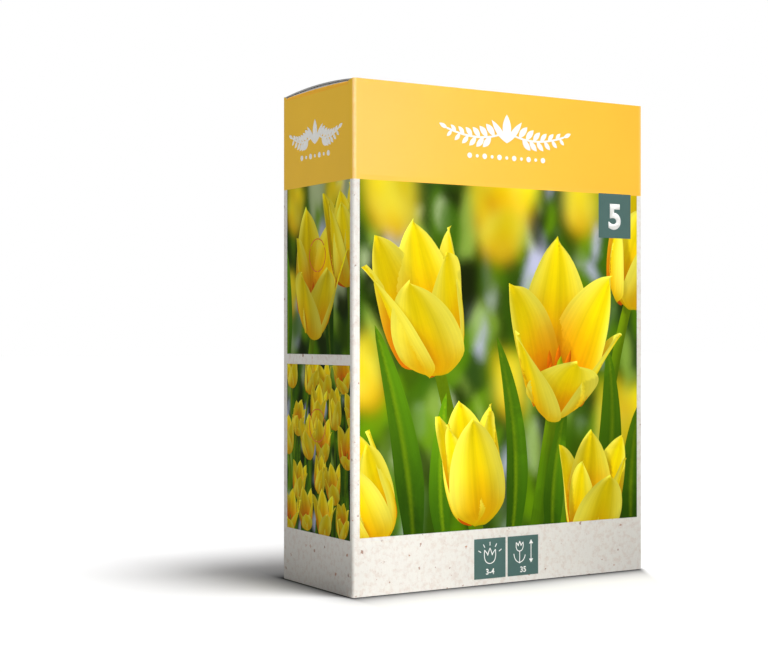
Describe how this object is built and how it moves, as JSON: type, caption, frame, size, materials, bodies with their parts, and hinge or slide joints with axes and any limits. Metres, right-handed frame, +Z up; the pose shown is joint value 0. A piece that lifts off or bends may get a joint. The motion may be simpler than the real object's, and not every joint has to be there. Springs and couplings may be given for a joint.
{
  "type": "flower bulb carton",
  "caption": "Upright folding paperboard carton for loose flower bulbs, with a glued bottom, a bulging tuck-in lid over two dust flaps, and bulbs inside.",
  "frame": {"origin": "centre of the underside, on the surface that the carton stands on", "axes": "+Z up along the height, X along the width, -Y out of the front panel"},
  "size_m": [0.13, 0.052, 0.1812],
  "materials": {
    "printed_board": "satin",
    "yellow_board": "satin",
    "grey_board": "matte",
    "bulb_skin": "satin"
  },
  "bodies": {
    "carton": {"sleeve": "printed_board", "seam_flap": "grey_board", "bottom_outer_flap": "printed_board", "bottom_inner_flap": "grey_board", "bottom_dust_flap_left": "grey_board", "bottom_dust_flap_right": "grey_board", "bulb_1": "bulb_skin", "bulb_2": "bulb_skin", "bulb_3": "bulb_skin", "bulb_4": "bulb_skin", "bulb_5": "bulb_skin"},
    "lid": {"lid": "yellow_board"},
    "tuck_flap": {"tuck_flap": "yellow_board"},
    "dust_flap_left": {"dust_flap_left": "grey_board"},
    "dust_flap_right": {"dust_flap_right": "grey_board"}
  },
  "joints": [
    {"name": "lid_crease", "type": "hinge", "parent": "carton", "child": "lid", "pos_m": [0, 0.026, 0.179], "axis": [-1, 0, 0], "range_deg": [0, 180]},
    {"name": "tuck_crease", "type": "hinge", "parent": "lid", "child": "tuck_flap", "pos_m": [0, -0.0251, 0.179], "axis": [-1, 0, 0], "range_deg": [0, 54]},
    {"name": "dust_crease_left", "type": "hinge", "parent": "carton", "child": "dust_flap_left", "pos_m": [-0.065, 0, 0.1783], "axis": [0, -1, 0], "range_deg": [0, 108]},
    {"name": "dust_crease_right", "type": "hinge", "parent": "carton", "child": "dust_flap_right", "pos_m": [0.065, 0, 0.1783], "axis": [0, 1, 0], "range_deg": [0, 108]}
  ],
  "couplings": [
    {"joint": "tuck_crease", "follows": "lid_crease", "ratio": 0.3},
    {"joint": "dust_crease_left", "follows": "lid_crease", "ratio": 0.6},
    {"joint": "dust_crease_right", "follows": "lid_crease", "ratio": 0.6}
  ]
}
